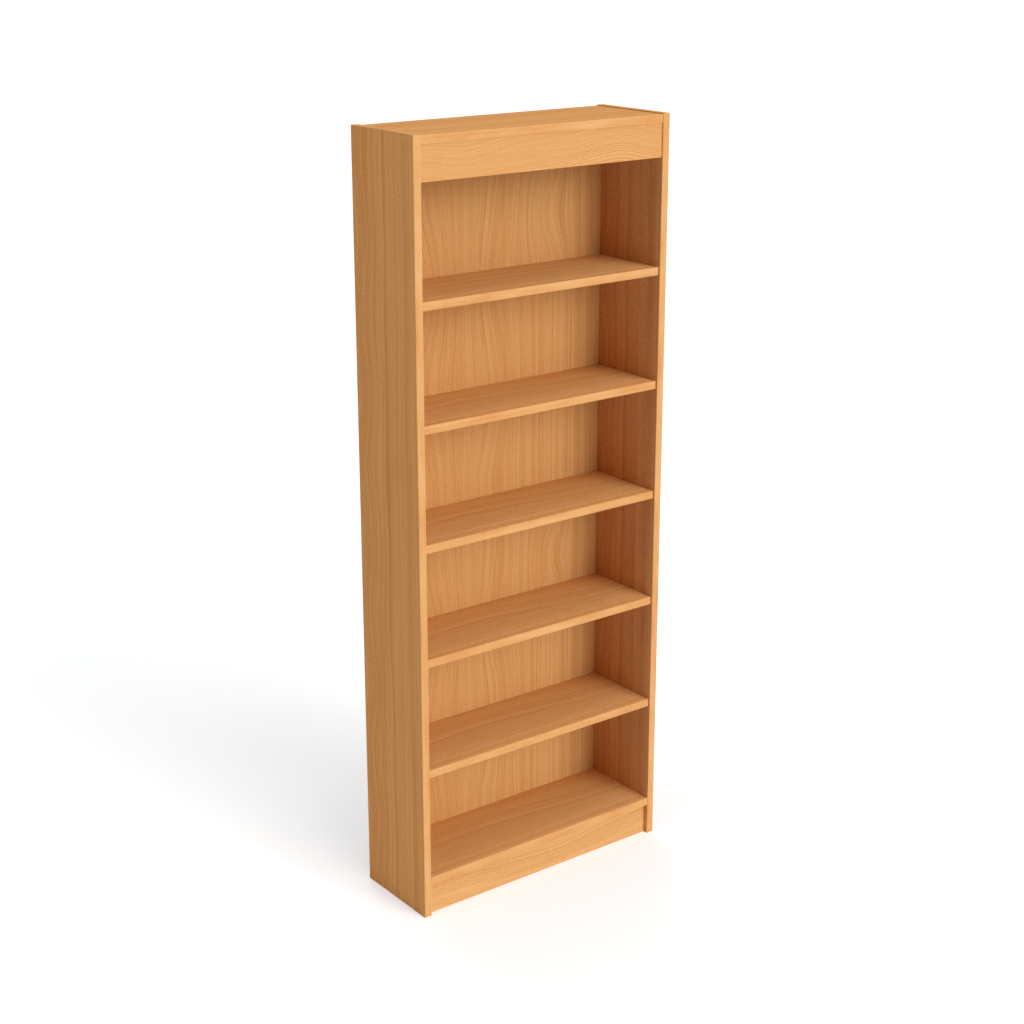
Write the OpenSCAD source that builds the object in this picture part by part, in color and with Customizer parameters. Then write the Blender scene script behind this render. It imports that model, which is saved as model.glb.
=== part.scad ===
/* [Case] */
// Height of the side panels above the floor
case_h = 1800; // [1300:10:2300]
// Width over both side panels
case_w = 700; // [450:5:1000]
// Depth over the side panels with their edging
case_d = 235; // [190:1:400]
// Thickness of the faced boards
board_t = 19; // [16:1:28]
// Height by which the side panels stand proud of the top panel
side_proud = 2; // [1:0.5:10]

/* [Fixed boards] */
// How far the top panel's front edge lies behind the sides' front edges
top_setback = 1.5; // [0:0.5:20]
// Height of the fascia rail below the top panel, with its edging
fascia_h = 78; // [60:1:150]
// How far the fascia's front face lies behind the sides' front edges
fascia_setback = 4; // [0:0.5:20]
// Height of the plinth rail, from the floor to the base panel
plinth_h = 78; // [60:1:150]
// How far the plinth's front face lies behind the sides' front edges
plinth_setback = 12; // [0:1:30]
// How far the base panel's front edge lies behind the sides' front edges
base_setback = 1.5; // [0:0.5:20]

/* [Back panel] */
// Thickness of the back panel
back_t = 8; // [6:0.5:16]
// How far the back panel's rear face lies in front of the sides' rear edges
back_inset = 10; // [4:1:25]
// Depth of the grooves that hold the back panel
groove_depth = 6; // [3:0.5:10]
// Gap between the back panel's lower edge and the floor
back_floor_gap = 2; // [1:0.5:20]
// Number of screws through the back panel into the base panel
back_screw_count = 5; // [2:1:9]
// Length of those screws
back_screw_len = 30; // [25:1:40]
// Radius of those screws' shanks
back_screw_r = 1.75; // [1.5:0.05:2.5]

/* [Loose shelves] */
// How far a shelf's front edge lies behind the sides' front edges
shelf_setback = 5; // [0:0.5:30]
// Gap between a shelf's end and the side panel
shelf_end_gap = 1; // [0.5:0.1:2]
// Gap between a shelf's rear edge and the back panel
shelf_rear_gap = 1; // [0.5:0.5:5]

/* [Edging] */
// Thickness of the front edging and of the fascia's lower edging
front_edge_t = 2; // [1:0.5:3]
// Thickness of the edging on rear edges and on the sides' top ends
thin_edge_t = 1; // [0.5:0.5:2]
// Rounding of the front edging's two outer corners
edge_r = 1.2; // [0.3:0.1:1.4]

/* [Shelf pins] */
// Radius of a pin's peg
pin_r = 2.4; // [2:0.1:3.5]
// Length of the peg inside the side panel
pin_in = 8; // [6:0.5:10]
// Radius of the round collar against the side panel
pin_collar_r = 3.6; // [3.6:0.1:5]
// Thickness of the collar
pin_collar_t = 1.6; // [1:0.1:2.5]
// Reach of the flat tongue that carries the shelf
tongue_len = 12; // [8:0.5:20]
// Width of the tongue
tongue_w = 9; // [6:0.5:16]
// Thickness of the tongue
tongue_t = 1.6; // [1:0.1:3]
// Distance from the sides' front edges to the front pins
pin_front = 50; // [40:1:70]
// Distance from the back panel to the rear pins
pin_rear = 35; // [20:1:60]

/* [Cam fittings and dowels] */
// Radius of a cam lock
cam_r = 7.4; // [5:0.1:8]
// Distance from a board's end to the cam lock's centre
cam_reach = 34; // [24:1:40]
// Radius of the cam bolt's shank
bolt_r = 3.5; // [2.5:0.1:3.7]
// Radius of the cam bolt's thread in the side panel
bolt_thread_r = 2.5; // [2:0.1:3]
// Distance from the front edge, or from the back panel, to the cam locks of the top and base panels
cam_edge = 50; // [45:1:60]
// Distance from those cam locks to the dowel next to them
cam_to_dowel = 22; // [16:1:30]
// Radius of a dowel
dowel_r = 3.9; // [3:0.1:5]
// Length of a dowel inside the board or rail
dowel_in = 18; // [15:1:25]
// Board left between a blind hole in a side panel and its outer face
side_skin = 7; // [4:0.5:8]
// Distance from a rail's upper and lower edges to its dowels
rail_dowel_edge = 18; // [14:1:19]

/* [Hidden] */
$fn = 48;

// Shelves between the base panel and the fascia, one node each, counted from the top
shelf_count = 5;
// Play between a fitting and the wall of its hole
fit_gap = 0.1;
// Play of the back panel at the bottom of its grooves
groove_play = 0.5;
// Extra depth at the blind end of a hole
end_play = 1;
// Overlap that lets a cut run clear through a face
eps = 0.5;

front_y = -case_d/2;
rear_y = case_d/2;
inner_w = case_w - 2*board_t;

// Heights, from the floor up
base_top = plinth_h + board_t;
top_top = case_h - side_proud;
top_under = top_top - board_t;
fascia_bottom = top_under - fascia_h;
clear_h = (fascia_bottom - base_top - shelf_count*board_t)/(shelf_count + 1);
shelf_pitch = clear_h + board_t;
function shelf_top(i) = base_top + (shelf_count + 1 - i)*shelf_pitch;
function shelf_under(i) = shelf_top(i) - board_t;

// Depths
back_rear_y = rear_y - back_inset;
back_front_y = back_rear_y - back_t;
fascia_y = front_y + fascia_setback;
plinth_y = front_y + plinth_setback;
shelf_w = inner_w - 2*shelf_end_gap;
shelf_y = front_y + shelf_setback;
shelf_rear_y = back_front_y - shelf_rear_gap;

// The back panel reaches into the grooves of the sides and of the top panel
back_w = inner_w + 2*(groove_depth - groove_play);
back_top = top_under + groove_depth - groove_play;

// Cam fittings: the bolt runs at half the board's thickness, and the cam is deep enough to hold its head
bolt_z = board_t/2;
bolt_neck_r = bolt_r - 1;
bolt_head_t = 3;
bolt_neck_t = 5;
cam_h = bolt_z + bolt_r + 1;
cam_bore = 4;
cam_drive_w = 1.6;
cam_drive_len = 8;
cam_drive_depth = 2;
side_in = board_t - side_skin;
cam_ys = [front_y + cam_edge, back_front_y - cam_edge];
dowel_ys = [cam_ys[0] + cam_to_dowel, cam_ys[1] - cam_to_dowel];
dowel_chamfer = 0.8;
pin_ys = [front_y + pin_front, back_front_y - pin_rear];
pin_axis_z = -tongue_t - pin_r;
pin_rib_len = tongue_len - 3;

// Screws that hold the back panel
screw_head_r = 2*back_screw_r;
screw_head_t = back_screw_r + 0.4;
screw_tip = 3;
screw_slot_w = 0.8;
screw_slot_depth = 0.9;
screw_edge = 50;
screw_step = (inner_w - 2*screw_edge)/(back_screw_count - 1);
screw_z = plinth_h + board_t/2;

side_col = [0.84, 0.58, 0.33];
edge_col = [0.93, 0.69, 0.44];
shelf_col = [0.80, 0.54, 0.30];
back_col = [0.78, 0.54, 0.31];
dowel_col = [0.86, 0.72, 0.50];
zinc_col = [0.66, 0.67, 0.69];
steel_col = [0.76, 0.76, 0.78];

// A block from its lowest corner
module block(from, size) {
    translate(from) cube(size);
}

// Edging section: board wide along X, thick along Y, with its two outer corners rounded
module edging_section(w, t) {
    r = min(edge_r, t);
    intersection() {
        square([w, t]);
        union() {
            translate([0, r]) square([w, t]);
            translate([r, 0]) square([w - 2*r, t]);
            translate([r, r]) circle(r);
            translate([w - r, r]) circle(r);
        }
    }
}

// Edging that stands upright, its outer face towards -Y
module upright_edging(len) {
    linear_extrude(len) edging_section(board_t, front_edge_t);
}

// Edging that runs along X, its outer face towards -Y, from its left lower corner
module cross_edging(len) {
    translate([0, 0, board_t]) rotate([0, 90, 0]) linear_extrude(len) edging_section(board_t, front_edge_t);
}

// Places for the fittings: each turns its children so that local +X points at the side panel
module at_cams(ends, ys, z) {
    for (end = ends, y = ys)
        translate([end*(inner_w/2 - cam_reach), y, z]) rotate([0, 0, end > 0 ? 0 : 180]) children();
}

module at_rail_cams(ends, y, z) {
    for (end = ends)
        translate([end*(inner_w/2 - cam_reach), y, z])
            rotate([90, 0, 0]) rotate([0, 0, end > 0 ? 0 : 180]) children();
}

module at_dowels(ends, ys, zs) {
    for (end = ends, y = ys, z = zs)
        translate([end*inner_w/2, y, z]) rotate([0, 90*end, 0]) children();
}

module at_pins(ends, i) {
    for (end = ends, y = pin_ys)
        translate([end*inner_w/2, y, shelf_under(i)]) rotate([0, 0, end > 0 ? 0 : 180]) children();
}

module at_back_screws() {
    for (n = [0 : back_screw_count - 1])
        translate([-inner_w/2 + screw_edge + n*screw_step, back_rear_y, screw_z]) rotate([90, 0, 0]) children();
}

module at_top_cams(ends = [-1, 1]) {
    at_cams(ends, cam_ys, top_under) children();
}

module at_base_cams(ends = [-1, 1]) {
    at_cams(ends, cam_ys, plinth_h) children();
}

module at_fascia_cams(ends = [-1, 1]) {
    at_rail_cams(ends, fascia_y + board_t, fascia_bottom + fascia_h/2) children();
}

module at_plinth_cams(ends = [-1, 1]) {
    at_rail_cams(ends, plinth_y + board_t, plinth_h/2) children();
}

module at_top_dowels(ends = [-1, 1]) {
    at_dowels(ends, dowel_ys, [top_under + board_t/2]) children();
}

module at_base_dowels(ends = [-1, 1]) {
    at_dowels(ends, dowel_ys, [plinth_h + board_t/2]) children();
}

module at_fascia_dowels(ends = [-1, 1]) {
    at_dowels(ends, [fascia_y + board_t/2], [fascia_bottom + rail_dowel_edge, top_under - rail_dowel_edge])
        children();
}

module at_plinth_dowels(ends = [-1, 1]) {
    at_dowels(ends, [plinth_y + board_t/2], [rail_dowel_edge, plinth_h - rail_dowel_edge]) children();
}

// Cam lock: a round body let into the board's face, bored for the bolt's head, with a cross for the driver
module cam_lock() {
    difference() {
        cylinder(r = cam_r, h = cam_h);
        translate([-cam_bore, 0, bolt_z]) rotate([0, 90, 0])
            cylinder(r = bolt_r + fit_gap, h = cam_bore + cam_r + eps);
        for (a = [45, 135])
            rotate([0, 0, a]) block([-cam_drive_len/2, -cam_drive_w/2, -eps],
                                    [cam_drive_len, cam_drive_w, cam_drive_depth + eps]);
    }
}

// Cam bolt: head and neck in the cam, shank through the board's end, thread in the side panel
module cam_bolt() {
    translate([-bolt_head_t/2, 0, bolt_z]) rotate([0, 90, 0]) {
        cylinder(r = bolt_r, h = bolt_head_t);
        cylinder(r = bolt_neck_r, h = bolt_head_t + bolt_neck_t);
        translate([0, 0, bolt_head_t + bolt_neck_t])
            cylinder(r = bolt_r, h = cam_reach - bolt_head_t/2 - bolt_neck_t);
        cylinder(r = bolt_thread_r, h = cam_reach + bolt_head_t/2 + side_in - end_play);
    }
}

// Round pocket for the cam lock, and the bolt's hole from the board's end
module cam_pocket() {
    translate([0, 0, -eps]) cylinder(r = cam_r + fit_gap, h = cam_h + fit_gap + eps);
    translate([0, 0, bolt_z]) rotate([0, 90, 0]) cylinder(r = bolt_r + fit_gap, h = cam_reach + eps);
}

// Blind hole for the bolt's thread in a side panel
module bolt_hole() {
    translate([cam_reach - eps, 0, bolt_z]) rotate([0, 90, 0])
        cylinder(r = bolt_thread_r + fit_gap, h = side_in + eps);
}

// Dowel across the joint: local +Z points into the side panel
module dowel() {
    len = dowel_in + side_in - end_play;
    translate([0, 0, -dowel_in]) {
        cylinder(r1 = dowel_r - dowel_chamfer, r2 = dowel_r, h = dowel_chamfer);
        translate([0, 0, dowel_chamfer]) cylinder(r = dowel_r, h = len - 2*dowel_chamfer);
        translate([0, 0, len - dowel_chamfer])
            cylinder(r1 = dowel_r, r2 = dowel_r - dowel_chamfer, h = dowel_chamfer);
    }
}

// Hole for the dowel, through the joint and blind at both ends
module dowel_hole() {
    translate([0, 0, -dowel_in - end_play])
        cylinder(r = dowel_r + fit_gap, h = dowel_in + end_play + side_in);
}

// Shelf pin: peg in the side panel, collar against it, and a tongue whose top carries the shelf
module shelf_pin() {
    translate([0, 0, pin_axis_z]) rotate([0, 90, 0]) {
        cylinder(r = pin_r, h = pin_in);
        translate([0, 0, -pin_collar_t]) cylinder(r = pin_collar_r, h = pin_collar_t);
        translate([0, 0, -pin_rib_len]) cylinder(r = pin_r, h = pin_rib_len);
    }
    block([-tongue_len, -tongue_w/2, -tongue_t], [tongue_len, tongue_w, tongue_t]);
    block([-pin_rib_len, -pin_r/2, pin_axis_z], [pin_rib_len, pin_r, pin_r + tongue_t/2]);
}

// Blind hole for the peg
module pin_hole() {
    translate([-eps, 0, pin_axis_z]) rotate([0, 90, 0])
        cylinder(r = pin_r + fit_gap, h = pin_in + end_play + eps);
}

// Screw with a countersunk, slotted head: local +Z runs into the base panel
module back_screw() {
    difference() {
        union() {
            cylinder(r1 = screw_head_r, r2 = back_screw_r, h = screw_head_t);
            cylinder(r = back_screw_r, h = back_screw_len - screw_tip);
            translate([0, 0, back_screw_len - screw_tip])
                cylinder(r1 = back_screw_r, r2 = back_screw_r/4, h = screw_tip);
        }
        block([-screw_head_r - eps, -screw_slot_w/2, -eps],
              [2*screw_head_r + 2*eps, screw_slot_w, screw_slot_depth + eps]);
    }
}

// Hole for that screw, countersunk in the back panel's rear face
module back_screw_hole() {
    cylinder(r1 = screw_head_r + fit_gap, r2 = back_screw_r + fit_gap, h = screw_head_t + fit_gap);
    translate([0, 0, -eps]) cylinder(r = screw_head_r + fit_gap, h = eps);
    cylinder(r = back_screw_r + fit_gap, h = back_screw_len + end_play);
}

// Side panel: end is -1 for the left one and +1 for the right one
module side_board(end) {
    x = end > 0 ? inner_w/2 : -case_w/2;
    groove_x = end > 0 ? inner_w/2 - eps : -inner_w/2 - groove_depth;
    color(side_col) difference() {
        block([x, front_y + front_edge_t, 0],
              [board_t, case_d - front_edge_t - thin_edge_t, case_h - thin_edge_t]);
        block([groove_x, back_front_y - fit_gap, -eps],
              [groove_depth + eps, back_t + 2*fit_gap, top_under + groove_depth + eps]);
        at_top_cams([end]) bolt_hole();
        at_base_cams([end]) bolt_hole();
        at_fascia_cams([end]) bolt_hole();
        at_plinth_cams([end]) bolt_hole();
        at_top_dowels([end]) dowel_hole();
        at_base_dowels([end]) dowel_hole();
        at_fascia_dowels([end]) dowel_hole();
        at_plinth_dowels([end]) dowel_hole();
        for (i = [1 : shelf_count]) at_pins([end], i) pin_hole();
    }
}

module side_front_edging(end) {
    x = end > 0 ? inner_w/2 : -case_w/2;
    color(edge_col) translate([x, front_y, 0]) upright_edging(case_h);
}

module side_rear_edging(end) {
    x = end > 0 ? inner_w/2 : -case_w/2;
    color(edge_col) block([x, rear_y - thin_edge_t, 0], [board_t, thin_edge_t, case_h]);
}

module side_top_edging(end) {
    x = end > 0 ? inner_w/2 : -case_w/2;
    color(edge_col) block([x, front_y + front_edge_t, case_h - thin_edge_t],
                          [board_t, case_d - front_edge_t - thin_edge_t, thin_edge_t]);
}

module side_panel_left() {
    side_board(-1);
}

module side_panel_right() {
    side_board(1);
}

module top_panel() {
    y = front_y + top_setback + front_edge_t;
    color(side_col) difference() {
        block([-inner_w/2, y, top_under], [inner_w, rear_y - thin_edge_t - y, board_t]);
        block([-inner_w/2 - eps, back_front_y - fit_gap, top_under - eps],
              [inner_w + 2*eps, back_t + 2*fit_gap, groove_depth + eps]);
        at_top_cams() cam_pocket();
        at_top_dowels() dowel_hole();
    }
}

module top_front_edging() {
    color(edge_col) translate([-inner_w/2, front_y + top_setback, top_under]) cross_edging(inner_w);
}

module top_rear_edging() {
    color(edge_col) block([-inner_w/2, rear_y - thin_edge_t, top_under], [inner_w, thin_edge_t, board_t]);
}

module fascia_rail() {
    color(edge_col) difference() {
        block([-inner_w/2, fascia_y, fascia_bottom + front_edge_t], [inner_w, board_t, fascia_h - front_edge_t]);
        at_fascia_cams() cam_pocket();
        at_fascia_dowels() dowel_hole();
    }
}

module fascia_edging() {
    color(edge_col) translate([-inner_w/2, fascia_y + board_t, fascia_bottom])
        rotate([90, 0, 90]) linear_extrude(inner_w) translate([-board_t, 0]) edging_section(board_t, front_edge_t);
}

module base_panel() {
    y = front_y + base_setback + front_edge_t;
    color(shelf_col) difference() {
        block([-inner_w/2, y, plinth_h], [inner_w, back_front_y - y, board_t]);
        at_base_cams() cam_pocket();
        at_base_dowels() dowel_hole();
        at_back_screws() back_screw_hole();
    }
}

module base_front_edging() {
    color(edge_col) translate([-inner_w/2, front_y + base_setback, plinth_h]) cross_edging(inner_w);
}

module plinth_rail() {
    color(edge_col) difference() {
        block([-inner_w/2, plinth_y, 0], [inner_w, board_t, plinth_h]);
        at_plinth_cams() cam_pocket();
        at_plinth_dowels() dowel_hole();
    }
}

module back_panel() {
    color(back_col) difference() {
        block([-back_w/2, back_front_y, back_floor_gap], [back_w, back_t, back_top - back_floor_gap]);
        at_back_screws() back_screw_hole();
    }
}

module back_screws() {
    color(steel_col) at_back_screws() back_screw();
}

module shelf(i) {
    y = shelf_y + front_edge_t;
    color(shelf_col) block([-shelf_w/2, y, shelf_under(i)], [shelf_w, shelf_rear_y - y, board_t]);
}

module shelf_edging(i) {
    color(edge_col) translate([-shelf_w/2, shelf_y, shelf_under(i)]) cross_edging(shelf_w);
}

module shelf_pins(i) {
    color(steel_col) at_pins([-1, 1], i) shelf_pin();
}

module cam_locks_top() {
    color(zinc_col) at_top_cams() cam_lock();
}

module cam_bolts_top() {
    color(steel_col) at_top_cams() cam_bolt();
}

module dowels_top() {
    color(dowel_col) at_top_dowels() dowel();
}

module cam_locks_base() {
    color(zinc_col) at_base_cams() cam_lock();
}

module cam_bolts_base() {
    color(steel_col) at_base_cams() cam_bolt();
}

module dowels_base() {
    color(dowel_col) at_base_dowels() dowel();
}

module cam_locks_fascia() {
    color(zinc_col) at_fascia_cams() cam_lock();
}

module cam_bolts_fascia() {
    color(steel_col) at_fascia_cams() cam_bolt();
}

module dowels_fascia() {
    color(dowel_col) at_fascia_dowels() dowel();
}

module cam_locks_plinth() {
    color(zinc_col) at_plinth_cams() cam_lock();
}

module cam_bolts_plinth() {
    color(steel_col) at_plinth_cams() cam_bolt();
}

module dowels_plinth() {
    color(dowel_col) at_plinth_dowels() dowel();
}

side_panel_left();
side_panel_right();
side_front_edging(-1);  // side_front_edging_left
side_front_edging(1);  // side_front_edging_right
side_rear_edging(-1);  // side_rear_edging_left
side_rear_edging(1);  // side_rear_edging_right
side_top_edging(-1);  // side_top_edging_left
side_top_edging(1);  // side_top_edging_right
top_panel();
top_front_edging();
top_rear_edging();
fascia_rail();
fascia_edging();
base_panel();
base_front_edging();
plinth_rail();
back_panel();
back_screws();
shelf(1);  // shelf_1
shelf(2);  // shelf_2
shelf(3);  // shelf_3
shelf(4);  // shelf_4
shelf(5);  // shelf_5
shelf_edging(1);  // shelf_edging_1
shelf_edging(2);  // shelf_edging_2
shelf_edging(3);  // shelf_edging_3
shelf_edging(4);  // shelf_edging_4
shelf_edging(5);  // shelf_edging_5
shelf_pins(1);  // shelf_pins_1
shelf_pins(2);  // shelf_pins_2
shelf_pins(3);  // shelf_pins_3
shelf_pins(4);  // shelf_pins_4
shelf_pins(5);  // shelf_pins_5
cam_locks_top();
cam_bolts_top();
dowels_top();
cam_locks_base();
cam_bolts_base();
dowels_base();
cam_locks_fascia();
cam_bolts_fascia();
dowels_fascia();
cam_locks_plinth();
cam_bolts_plinth();
dowels_plinth();
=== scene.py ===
import math

import bpy
from mathutils import Matrix, Vector

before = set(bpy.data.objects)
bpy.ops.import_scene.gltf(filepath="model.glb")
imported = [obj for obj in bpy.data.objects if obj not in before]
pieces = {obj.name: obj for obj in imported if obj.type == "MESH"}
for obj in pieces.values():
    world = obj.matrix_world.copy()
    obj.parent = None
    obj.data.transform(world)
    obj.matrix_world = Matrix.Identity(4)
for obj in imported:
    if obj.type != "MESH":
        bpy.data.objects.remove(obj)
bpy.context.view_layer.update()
scene = bpy.context.scene
print("frame loaded with", len(pieces), "pieces")


# camera, as the photograph was taken
cameraView = {
    "place": (-2.48377, -3.27086, 2.25394),
    "aim": (0.00687, 0.0, 0.98385),
    "roll": 0.00061,               # radians, clockwise as seen through the lens
    "sensorWidth": 36.0,           # mm
    "focalPixels": 1851.689,
    "imageSide": 1024,             # pixels
    "opticalCentre": (517.114, 473.794),  # pixels from the upper left corner
    "farthest": 400.0,
}


def makeCamera(look):
    place, aim = Vector(look["place"]), Vector(look["aim"])
    forward = (aim - place).normalized()
    level = forward.cross(Vector((0, 0, 1))).normalized()
    upright = level.cross(forward)
    turnCos, turnSin = math.cos(look["roll"]), math.sin(look["roll"])
    right = turnCos * level + turnSin * upright
    up = turnCos * upright - turnSin * level
    lens = bpy.data.cameras.new("camera")
    side = look["imageSide"]
    lens.sensor_width = look["sensorWidth"]
    lens.lens = look["focalPixels"] * look["sensorWidth"] / side
    lens.shift_x = (side / 2 - look["opticalCentre"][0]) / side
    lens.shift_y = (look["opticalCentre"][1] - side / 2) / side
    lens.clip_end = look["farthest"]
    camera = bpy.data.objects.new("camera", lens)
    scene.collection.objects.link(camera)
    camera.matrix_world = Matrix((
        (right.x, up.x, -forward.x, place.x),
        (right.y, up.y, -forward.y, place.y),
        (right.z, up.z, -forward.z, place.z),
        (0, 0, 0, 1),
    ))
    scene.camera = camera


makeCamera(cameraView)
scene.view_settings.view_transform = "Standard"
print("camera set")


# small helpers for shader trees
def newMaterial(name):
    material = bpy.data.materials.new(name)
    material.use_nodes = True
    material.node_tree.nodes.clear()
    return material, material.node_tree


def put(tree, kind, inputs=None, **settings):
    # a new node, with each input linked to a socket or set to a value
    made = tree.nodes.new(kind)
    for key, value in settings.items():
        setattr(made, key, value)
    for key, value in (inputs or {}).items():
        if isinstance(value, bpy.types.NodeSocket):
            tree.links.new(value, made.inputs[key])
        else:
            made.inputs[key].default_value = value
    return made


def calc(tree, operation, *values):
    inputs = dict(enumerate(values))
    return put(tree, "ShaderNodeMath", inputs, operation=operation).outputs[0]


def fit(tree, value, edges, toLow=0.0, toHigh=1.0, soft=False):
    # toLow at the first edge, toHigh at the second one
    kind = "SMOOTHSTEP" if soft else "LINEAR"
    inputs = {0: value, 1: edges[0], 2: edges[1], 3: toLow, 4: toHigh}
    return put(tree, "ShaderNodeMapRange", inputs, interpolation_type=kind).outputs[0]


def blendColour(tree, factor, first, second):
    # the first colour where the factor is 0 or less, the second where it is 1 or more
    inputs = {0: factor, 6: first, 7: second}
    return put(tree, "ShaderNodeMix", inputs, data_type="RGBA").outputs[2]


def rgb(colour):
    return (*colour, 1.0)


def tinted(colour, tint):
    return rgb([channel * share for channel, share in zip(colour, tint)])


def stretched(tree, place, scales, shift=(0, 0, 0)):
    # place in metres, times waves per metre along, across and into the board
    moved = put(tree, "ShaderNodeVectorMath", {0: place, 1: shift}, operation="ADD").outputs[0]
    return put(tree, "ShaderNodeVectorMath", {0: moved, 1: scales}, operation="MULTIPLY").outputs[0]


def noiseIn(tree, place, scales, shift, detail, rough=0.5):
    inputs = {
        "Vector": stretched(tree, place, scales, shift),
        "Scale": 1.0,
        "Detail": detail,
        "Roughness": rough,
    }
    return put(tree, "ShaderNodeTexNoise", inputs, noise_dimensions="3D").outputs["Fac"]


def centred(tree, value, size):
    # a noise of 0 to 1 turned into a swing of minus to plus size
    return calc(tree, "MULTIPLY", calc(tree, "SUBTRACT", value, 0.5), 2.0 * size)


def distanceFrom(tree, value, middle, size):
    return calc(tree, "DIVIDE", calc(tree, "SUBTRACT", value, middle), size)


def bell(tree, squared):
    # 1 where the squared distance is 0, and fading away from there
    return calc(tree, "EXPONENT", calc(tree, "MULTIPLY", squared, -1.0))


def bumpFrom(tree, height, look):
    inputs = {"Strength": look["bump"], "Distance": look["bumpDepth"], "Height": height}
    return put(tree, "ShaderNodeBump", inputs).outputs[0]


# how fine and rough each noise in the wood is, and which seed of the board it takes
woodNoises = {
    "drift": {"detail": 1.0, "rough": 0.50, "seed": 0},
    "wander": {"detail": 1.0, "rough": 0.50, "seed": 1},
    "ripple": {"detail": 2.0, "rough": 0.50, "seed": 2},
    "fade": {"detail": 1.0, "rough": 0.50, "seed": 3},
    "streak": {"detail": 2.0, "rough": 0.55, "seed": 4},
    "fleck": {"detail": 1.0, "rough": 0.60, "seed": 0},
    "pore": {"detail": 2.0, "rough": 0.60, "seed": 1},
    "red": {"detail": 2.0, "rough": 0.50, "seed": 2},
    "ring": {"detail": 1.0, "rough": 0.50},
}


def woodNoise(tree, place, grain, kind):
    noise = woodNoises[kind]
    seed = grain["seeds"][noise["seed"]]
    return noiseIn(tree, place, grain[kind + "Waves"], seed, noise["detail"], noise["rough"])


def ringNoise(tree, field, spacing):
    noise = woodNoises["ring"]
    inputs = {
        "W": calc(tree, "DIVIDE", field, spacing),
        "Scale": 1.0,
        "Detail": noise["detail"],
        "Roughness": noise["rough"],
    }
    return put(tree, "ShaderNodeTexNoise", inputs, noise_dimensions="1D").outputs["Fac"]


def depthAxis(grain):
    return ({"X", "Y", "Z"} - {grain["along"], grain["across"]}).pop()


def woodPlace(tree, grain):
    # the object's own coordinates, in the order along, across and into the grain
    place = put(tree, "ShaderNodeTexCoord").outputs["Object"]
    parts = put(tree, "ShaderNodeSeparateXYZ", {0: place}).outputs
    axes = (grain["along"], grain["across"], depthAxis(grain))
    inputs = {number: parts[axis] for number, axis in enumerate(axes)}
    return put(tree, "ShaderNodeCombineXYZ", inputs).outputs[0]


def hillOn(tree, along, across, swelling):
    # a smooth swelling of the growth rings: lines bend round it, or close to an eye if it is high
    ahead = distanceFrom(tree, along, swelling["along"], swelling["length"])
    beside = distanceFrom(tree, across, swelling["across"], swelling["width"])
    away = calc(tree, "MULTIPLY_ADD", ahead, ahead, calc(tree, "MULTIPLY", beside, beside))
    return calc(tree, "MULTIPLY", bell(tree, away), swelling["height"])


def ringField(tree, place, grain):
    # a place across the grain, in metres, that is the same all along one growth line
    along, across, depth = put(tree, "ShaderNodeSeparateXYZ", {0: place}).outputs
    inward = calc(tree, "SUBTRACT", depth, grain["middle"])
    field = calc(tree, "MULTIPLY_ADD", inward, grain["ringTilt"], across)
    for kind in ("drift", "wander", "ripple"):
        noise = woodNoise(tree, place, grain, kind)
        field = calc(tree, "ADD", field, centred(tree, noise, grain[kind]))
    for swelling in grain["hills"]:
        field = calc(tree, "ADD", field, hillOn(tree, along, across, swelling))
    return field


def growthLines(tree, place, field, grain):
    # fine lines, stronger in some places than in others, and broader stripes along the same rings
    strength = fit(tree, woodNoise(tree, place, grain, "fade"), grain["lineEdges"],
                   grain["lineLeast"], 1.0, soft=True)
    lines = fit(tree, ringNoise(tree, field, grain["lineSpacing"]), grain["lineEdges"],
                -grain["lines"], grain["lines"], soft=True)
    stripes = centred(tree, ringNoise(tree, field, grain["stripeSpacing"]), grain["stripes"])
    return calc(tree, "ADD", calc(tree, "MULTIPLY", lines, strength), stripes)


def redShare(tree, place, field, grain):
    # reddish clouds, and bands where one growth ring was wide; the right side panel's broad band
    # towards the rear is painted shade
    red = fit(tree, woodNoise(tree, place, grain, "red"), grain["redEdges"],
              0.0, grain["redClouds"], soft=True)
    for band in grain["redBands"]:
        off = distanceFrom(tree, field, band["at"], band["width"])
        bandShare = bell(tree, calc(tree, "MULTIPLY", off, off))
        red = calc(tree, "MULTIPLY_ADD", bandShare, band["strength"], red)
    return red


def woodColour(tree, tone, red, grain):
    base = grain["base"]
    darkness = calc(tree, "MULTIPLY", tone, -1.0)
    colour = blendColour(tree, red, rgb(base), tinted(base, grain["warm"]))
    colour = blendColour(tree, darkness, colour, tinted(base, grain["dark"]))
    return blendColour(tree, tone, colour, tinted(base, grain["light"]))


chipboard = {
    "chips": (420.0, 420.0, 420.0),    # chips per metre
    "gapEdges": (0.42, 0.72),          # in chips from a chip's middle, where binder starts and is full
    "gaps": 0.6,
    "facing": (0.6, 0.4),              # share of the thickness in a face's normal, for no chips and all
    "pale": (0.74, 0.47, 0.24),
    "brown": (0.54, 0.31, 0.13),
    "binder": (0.32, 0.17, 0.07),
}


def chipboardColour(tree, place, look):
    # pressed chips with darker binder between them
    inputs = {"Vector": stretched(tree, place, look["chips"]), "Scale": 1.0, "Randomness": 1.0}
    chips = put(tree, "ShaderNodeTexVoronoi", inputs, feature="F1")
    chance = put(tree, "ShaderNodeSeparateColor", {0: chips.outputs["Color"]}).outputs[0]
    gap = fit(tree, chips.outputs["Distance"], look["gapEdges"], 0.0, look["gaps"], soft=True)
    colour = blendColour(tree, chance, rgb(look["pale"]), rgb(look["brown"]))
    return blendColour(tree, gap, colour, rgb(look["binder"]))


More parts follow.
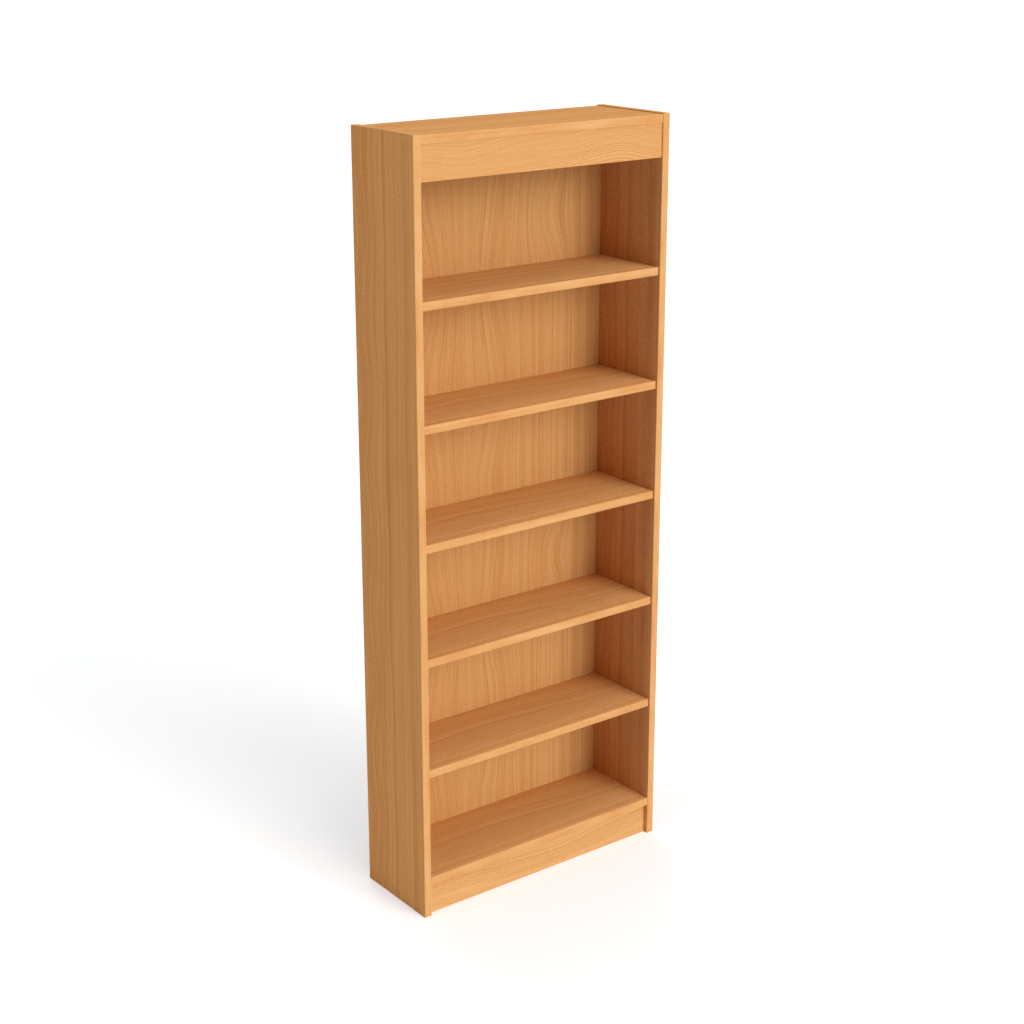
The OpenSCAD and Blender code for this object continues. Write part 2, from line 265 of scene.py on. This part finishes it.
def withCutEdges(tree, place, colour, grain):
    # the chips show on each face that doesn't look into or out of the board
    normal = put(tree, "ShaderNodeTexCoord").outputs["Normal"]
    facing = put(tree, "ShaderNodeSeparateXYZ", {0: normal}).outputs[depthAxis(grain)]
    cut = fit(tree, calc(tree, "ABSOLUTE", facing), chipboard["facing"])
    return blendColour(tree, cut, colour, chipboardColour(tree, place, chipboard))


def beechMaterial(name, grain):
    material, tree = newMaterial(name)
    place = woodPlace(tree, grain)
    field = ringField(tree, place, grain)

    # tone above 0 is lighter than the base colour, below 0 darker
    tone = growthLines(tree, place, field, grain)
    fine = {kind: woodNoise(tree, place, grain, kind) for kind in ("streak", "fleck", "pore")}
    for kind, noise in fine.items():
        tone = calc(tree, "ADD", tone, centred(tree, noise, grain[kind + "s"]))
    colour = woodColour(tree, tone, redShare(tree, place, field, grain), grain)
    if grain["cutEdges"]:
        colour = withCutEdges(tree, place, colour, grain)

    roughness = fit(tree, fine["streak"], grain["shineEdges"], grain["roughest"], grain["smoothest"])
    height = calc(tree, "MULTIPLY_ADD", fine["fleck"], grain["fleckRelief"], fine["pore"])
    shine = put(tree, "ShaderNodeBsdfPrincipled", {
        "Base Color": colour,
        "Roughness": roughness,
        "Normal": bumpFrom(tree, height, grain),
        "IOR": grain["index"],
        "Specular IOR Level": grain["specular"],
    })
    put(tree, "ShaderNodeOutputMaterial", {"Surface": shine.outputs[0]})
    return material


# waves are counted per metre along, across and into the board, sizes are in metres
# edges are the two values of a noise between which something grows
boardGrain = {
    "along": "Z",
    "across": "Y",
    "base": (0.780, 0.395, 0.145),
    "dark": (0.84, 0.61, 0.49),        # times the base colour, as are light and warm
    "light": (1.12, 1.26, 1.62),
    "warm": (0.90, 0.76, 0.68),
    "ringTilt": 0.7,                   # shift of the rings across, per metre into the board
    "driftWaves": (0.9, 4.0, 2.0),
    "drift": 0.020,
    "wanderWaves": (3.5, 14.0, 5.0),
    "wander": 0.005,
    "rippleWaves": (14.0, 60.0, 20.0),
    "ripple": 0.0009,
    "hills": [],
    "fadeWaves": (3.0, 14.0, 5.0),
    "lineEdges": (0.35, 0.65),
    "lineLeast": 0.40,                 # strength of the lines where they are faintest
    "lineSpacing": 0.0050,
    "lines": 0.36,
    "stripeSpacing": 0.020,
    "stripes": 0.45,
    "streakWaves": (2.2, 130.0, 30.0),
    "streaks": 0.40,
    "fleckWaves": (240.0, 420.0, 300.0),
    "flecks": 0.55,
    "fleckRelief": 0.4,                # beside the pores' 1
    "poreWaves": (120.0, 1000.0, 700.0),
    "pores": 0.45,
    "redWaves": (0.8, 16.0, 8.0),
    "redEdges": (0.50, 0.72),
    "redClouds": 0.5,
    "redBands": [],
    "cutEdges": True,
    "shineEdges": (0.25, 0.75),
    "roughest": 0.72,
    "smoothest": 0.60,
    "index": 1.45,
    "specular": 0.04,
    "bump": 0.05,
    "bumpDepth": 0.00010,
}

# a board's seeds are places in the log, and the next board's lie these steps further on
logSteps = {
    "board": (0.83, 0.29, 0.61),
    "noise": 0.37,
    "noises": 5,
    "digits": 3,
}


def seedsFor(number):
    digits = logSteps["digits"]
    seeds = []
    for noise in range(1, logSteps["noises"] + 1):
        shift = noise * logSteps["noise"]
        seeds.append(tuple(round(number * step + shift, digits) for step in logSteps["board"]))
    return seeds


def setFinish(names, material):
    for name in names:
        piece = pieces[name]
        piece.data.materials.clear()
        piece.data.materials.append(material)


def setWood(piece, name, grain, number):
    axis = "XYZ".index(depthAxis(grain))
    places = [corner[axis] for corner in pieces[piece].bound_box]
    middle = (min(places) + max(places)) / 2
    own = {**grain, "middle": middle, "seeds": seedsFor(number)}
    setFinish([piece], beechMaterial(name, own))


def hill(along, across, height, length, width):
    return {"along": along, "across": across, "height": height, "length": length, "width": width}


def redBand(at, width, strength):
    return {"at": at, "width": width, "strength": strength}


sideHills = {"count": 6, "lowest": 0.17, "pitch": 0.35}

sideGrain = {
    **boardGrain,
    "base": (0.814, 0.392, 0.129),
    "hills": [hill(sideHills["lowest"] + sideHills["pitch"] * number, 0.080, 0.038, 0.14, 0.060)
              for number in range(sideHills["count"])],
    "redBands": [
        redBand(0.125, 0.026, 0.45),
        redBand(0.085, 0.008, 0.70),
        redBand(0.045, 0.006, 0.60),
        redBand(-0.005, 0.006, 0.35),
        redBand(-0.085, 0.012, 0.45),
    ],
    "drift": 0.012,
    "lineSpacing": 0.0060,
    "stripes": 0.46,
    "streaks": 0.50,
    "fleckWaves": (200.0, 200.0, 200.0),
    "flecks": 0.70,
}

# the right side panel, the same board as the left one: its darker base colour is painted shade of its
# inner face
rightGrainWithPaintedShade = {
    **sideGrain,
    "base": (0.640, 0.342, 0.145),
    # the added broad band towards the rear is painted shade, darker and redder, near the back panel
    "redBands": [*sideGrain["redBands"], redBand(0.070, 0.050, 0.60)],
    "lines": 0.32,
    "stripes": 0.40,
    "flecks": 0.90,
}

backGrain = {
    **boardGrain,
    "across": "X",
    "base": (0.742, 0.405, 0.145),
    "hills": [
        hill(1.56, 0.16, 0.036, 0.085, 0.055),
        hill(0.71, 0.17, 0.036, 0.085, 0.055),
        hill(1.43, -0.16, -0.045, 0.15, 0.070),
        hill(1.43, 0.01, 0.038, 0.15, 0.060),
        hill(0.93, -0.18, -0.036, 0.12, 0.070),
        hill(0.95, -0.02, 0.032, 0.12, 0.060),
        hill(0.60, -0.16, -0.042, 0.15, 0.070),
        hill(0.60, 0.00, 0.034, 0.15, 0.060),
        hill(0.12, -0.18, -0.036, 0.12, 0.070),
        hill(0.12, -0.03, 0.032, 0.12, 0.060),
    ],
    "redBands": [
        redBand(-0.19, 0.014, 0.35),
        redBand(0.04, 0.010, 0.35),
        redBand(0.13, 0.008, 0.40),
    ],
    "drift": 0.010,
    "lineSpacing": 0.0055,
    "lines": 0.30,
    "stripeSpacing": 0.018,
    "flecks": 0.70,
}

# shelves and base panel
flatGrain = {
    **boardGrain,
    "along": "X",
    "across": "Y",
    "base": (0.766, 0.436, 0.165),
    "hills": [
        hill(-0.10, 0.060, -0.032, 0.22, 0.075),
        hill(0.28, -0.02, 0.012, 0.15, 0.060),
    ],
    "redBands": [
        redBand(0.100, 0.034, 0.95),
        redBand(0.030, 0.008, 0.45),
        redBand(-0.095, 0.036, 0.85),
    ],
    "drift": 0.010,
    "lines": 0.42,
    "lineSpacing": 0.0058,
    "stripeSpacing": 0.022,
    "stripes": 0.28,
    "flecks": 0.95,
    "redClouds": 0.2,
}

# the top panel: its base colour, darker and redder than the other boards', is painted shade of the
# upward face
topGrainWithPaintedShade = {
    **boardGrain,
    "along": "X",
    "across": "Y",
    "base": (0.634, 0.306, 0.090),
    "redBands": [redBand(0.075, 0.014, 0.6), redBand(-0.03, 0.010, 0.3)],
    "lines": 0.46,
    "stripes": 0.35,
    "flecks": 0.70,
}

fasciaGrain = {
    **boardGrain,
    "along": "X",
    "across": "Z",
    "base": (0.815, 0.412, 0.147),
    "hills": [
        hill(0.205, 1.772, -0.032, 0.11, 0.085),
        hill(0.02, 1.760, -0.014, 0.14, 0.085),
        hill(-0.21, 1.730, 0.016, 0.09, 0.060),
    ],
    "drift": 0.006,
    "ripple": 0.0013,
    "lineSpacing": 0.0019,
    "lines": 0.54,
    "lineLeast": 0.70,
    "stripes": 0.25,
    "streaks": 0.20,
    "flecks": 0.35,
}

plinthGrain = {
    **boardGrain,
    "along": "X",
    "across": "Z",
    "base": (0.834, 0.450, 0.169),
    "hills": [hill(0.05, 0.030, 0.036, 0.30, 0.100)],
    "redClouds": 0.15,
    "drift": 0.006,
    "lines": 0.22,
    "stripes": 0.75,
    "flecks": 0.80,
}

shelfCount = 5


def finishBoards():
    finishes = {
        "side_panel_left": ("beechSideLeft", sideGrain),
        "side_panel_right": ("beechSideRightWithPaintedShade", rightGrainWithPaintedShade),
        "back_panel": ("beechBack", backGrain),
        "top_panel": ("beechTopWithPaintedShade", topGrainWithPaintedShade),
        "base_panel": ("beechBase", flatGrain),
        "fascia_rail": ("beechFascia", fasciaGrain),
        "plinth_rail": ("beechPlinth", plinthGrain),
    }
    for number in range(1, shelfCount + 1):
        finishes[f"shelf_{number}"] = (f"beechShelf{number}", flatGrain)
    for number, (piece, (name, grain)) in enumerate(finishes.items()):
        setWood(piece, name, grain, number)
    print("boards finished:", len(finishes))


edgeGrain = {
    **boardGrain,
    "base": (0.832, 0.428, 0.158),
    "drift": 0.004,
    "wander": 0.002,
    "lines": 0.10,
    "stripes": 0.15,
    "streaks": 1.00,
    "streakWaves": (7.0, 30.0, 30.0),
    "flecks": 0.35,
    "pores": 0.30,
    "redClouds": 0.15,
    "cutEdges": False,
    "firstNumber": 20,                 # in the log, past the boards
}


def finishEdging():
    upright = {**edgeGrain, "along": "Z", "across": "X"}
    flat = {**edgeGrain, "along": "X", "across": "Z"}
    # the upward-facing edging on the sides' top ends takes the top panel's darker base colour, painted
    # shade of an upward face
    crosswise = {**edgeGrain, "along": "Y", "across": "X", "base": topGrainWithPaintedShade["base"]}
    strips = [name for name in pieces if "edging" in name]
    for number, name in enumerate(strips, edgeGrain["firstNumber"]):
        if name.startswith("side_top"):
            grain = crosswise
        elif name.startswith("side"):
            grain = upright
        else:
            grain = flat
        setWood(name, "beech_" + name, grain, number)
    print("edging strips finished:", len(strips))


metalSurface = {
    "detail": 3.0,
    "clouds": 0.12,                    # waves, as a share of the grain's
    "cloudShift": (1.0, 2.0, 3.0),
    "cloudDetail": 2.0,
    "cloudEdges": (0.35, 0.65),
    "dark": 0.72,                      # of the colour, where the clouds are thickest
    "mottleEdges": (0.3, 0.7),
    "uneven": 0.08,                    # roughness, to either side
    "bump": 0.2,
    "bumpDepth": 0.0001,
}

# grain is in waves per metre
metalLooks = {
    "zincCam": {"colour": (0.50, 0.51, 0.53), "roughness": 0.55, "grain": 900.0},
    "boltSteel": {"colour": (0.62, 0.62, 0.64), "roughness": 0.35, "grain": 1500.0},
    "nickelPin": {"colour": (0.70, 0.68, 0.63), "roughness": 0.22, "grain": 700.0},
    "screwSteel": {"colour": (0.60, 0.60, 0.57), "roughness": 0.38, "grain": 1200.0},
}


def metalMaterial(name, look):
    material, tree = newMaterial(name)
    place = put(tree, "ShaderNodeTexCoord").outputs["Object"]
    waves = look["grain"]
    cloudWaves = waves * look["clouds"]
    mottle = noiseIn(tree, place, (waves,) * 3, (0, 0, 0), look["detail"])
    clouds = noiseIn(tree, place, (cloudWaves,) * 3, look["cloudShift"], look["cloudDetail"])
    cloudShare = fit(tree, clouds, look["cloudEdges"])
    dark = tinted(look["colour"], (look["dark"],) * 3)
    lowest, highest = look["roughness"] - look["uneven"], look["roughness"] + look["uneven"]
    shine = put(tree, "ShaderNodeBsdfPrincipled", {
        "Base Color": blendColour(tree, cloudShare, rgb(look["colour"]), dark),
        "Metallic": 1.0,
        "Roughness": fit(tree, mottle, look["mottleEdges"], lowest, highest),
        "Normal": bumpFrom(tree, mottle, look),
    })
    put(tree, "ShaderNodeOutputMaterial", {"Surface": shine.outputs[0]})
    return material


dowelGrain = {
    **boardGrain,
    "along": "X",
    "across": "Y",
    "middle": 0.0,
    "seeds": [(0.1, 0.2, 0.3), (3.1, 1.7, 0.4), (1.3, 0.9, 2.0), (0.7, 0.2, 5.0), (2.1, 0.3, 1.0)],
    "cutEdges": False,
}


def finishFittings():
    # each kind of fitting by the start of its pieces' names
    finishes = {
        "cam_locks": "zincCam",
        "cam_bolts": "boltSteel",
        "shelf_pins": "nickelPin",
        "back_screws": "screwSteel",
    }
    materials = {start: metalMaterial(name, {**metalSurface, **metalLooks[name]})
                 for start, name in finishes.items()}
    materials["dowels"] = beechMaterial("beechDowel", dowelGrain)
    for start, material in materials.items():
        setFinish([name for name in pieces if name.startswith(start)], material)
    print("kinds of fittings finished:", len(materials))


finishBoards()
finishEdging()
finishFittings()


# floor and light
floorLook = {
    "size": 160.0,
    "bounce": (0.80, 0.80, 0.80),      # what the lamps meet
    "seen": (1.00, 0.92, 0.86),        # what the camera sees, times the light
    "lift": (0.136, 0.216, 0.272),     # even light added for the camera, up to white
}


def seenDirectly(tree):
    # 1 for what the camera, a reflection or a clear surface shows
    path = put(tree, "ShaderNodeLightPath").outputs
    mirrored = calc(tree, "MAXIMUM", path["Is Glossy Ray"], path["Is Transmission Ray"])
    return calc(tree, "MAXIMUM", path["Is Camera Ray"], mirrored)


def makeFloor(look):
    half = look["size"] / 2
    corners = [(-half, -half, 0), (half, -half, 0), (half, half, 0), (-half, half, 0)]
    mesh = bpy.data.meshes.new("floor")
    mesh.from_pydata(corners, [], [(0, 1, 2, 3)])
    floor = bpy.data.objects.new("floor", mesh)
    scene.collection.objects.link(floor)
    material, tree = newMaterial("paleFloor")
    plain = put(tree, "ShaderNodeBsdfDiffuse", {"Color": rgb(look["bounce"])}).outputs[0]
    seen = put(tree, "ShaderNodeBsdfDiffuse", {"Color": rgb(look["seen"])}).outputs[0]
    lift = put(tree, "ShaderNodeEmission", {"Color": rgb(look["lift"])}).outputs[0]
    bright = put(tree, "ShaderNodeAddShader", {0: seen, 1: lift}).outputs[0]
    mix = put(tree, "ShaderNodeMixShader", {0: seenDirectly(tree), 1: plain, 2: bright}).outputs[0]
    put(tree, "ShaderNodeOutputMaterial", {"Surface": mix})
    mesh.materials.append(material)
    print("floor laid")


skyLook = {
    "colour": (1.0, 1.0, 1.0),         # light on the object
    "strength": 0.02,
    "seenColour": (1.0, 1.0, 1.0),     # what shows behind it
    "seenStrength": 1.0,
}


def makeSky(look):
    sky = bpy.data.worlds.new("studio")
    scene.world = sky
    sky.use_nodes = True
    tree = sky.node_tree
    tree.nodes.clear()
    soft = put(tree, "ShaderNodeBackground", {
        "Color": rgb(look["colour"]),
        "Strength": look["strength"],
    }).outputs[0]
    seen = put(tree, "ShaderNodeBackground", {
        "Color": rgb(look["seenColour"]),
        "Strength": look["seenStrength"],
    }).outputs[0]
    mix = put(tree, "ShaderNodeMixShader", {0: seenDirectly(tree), 1: soft, 2: seen}).outputs[0]
    put(tree, "ShaderNodeOutputWorld", {"Surface": mix})
    print("sky set")


lampShape = {
    "softness": 34.0,                  # how wide each lamp looks, in degrees
    "distance": 4.0,                   # metres; its light is the same from anywhere
}

# turn from the front towards the right side, and height above the floor, in degrees
lampLooks = {
    "keyLamp": {"turn": 18.0, "height": 25.0, "strength": 0.77},
    "lowLamp": {"turn": 14.0, "height": 10.0, "strength": 0.66},
    "frontLamp": {"turn": 0.0, "height": 25.0, "strength": 0.49},
    "upperLamp": {"turn": 0.0, "height": 65.0, "strength": 0.55},
    "ceilingLamp": {"turn": 0.0, "height": 89.9, "strength": 1.12},
    "leftLamp": {"turn": -90.0, "height": 45.0, "strength": 0.45},
    "rearLamp": {"turn": 160.0, "height": 45.0, "strength": 0.55},
}


def makeLamp(name, look):
    turn, height = math.radians(look["turn"]), math.radians(look["height"])
    level = math.cos(height)
    towards = Vector((math.sin(turn) * level, -math.cos(turn) * level, math.sin(height)))
    lamp = bpy.data.lights.new(name, "SUN")
    lamp.angle = math.radians(lampShape["softness"])
    lamp.energy = look["strength"]
    holder = bpy.data.objects.new(name, lamp)
    scene.collection.objects.link(holder)
    holder.rotation_euler = towards.to_track_quat("Z", "Y").to_euler()
    holder.location = towards * lampShape["distance"]


makeFloor(floorLook)
makeSky(skyLook)
for lampName, lampLook in lampLooks.items():
    makeLamp(lampName, lampLook)
print("lamps set:", len(lampLooks))
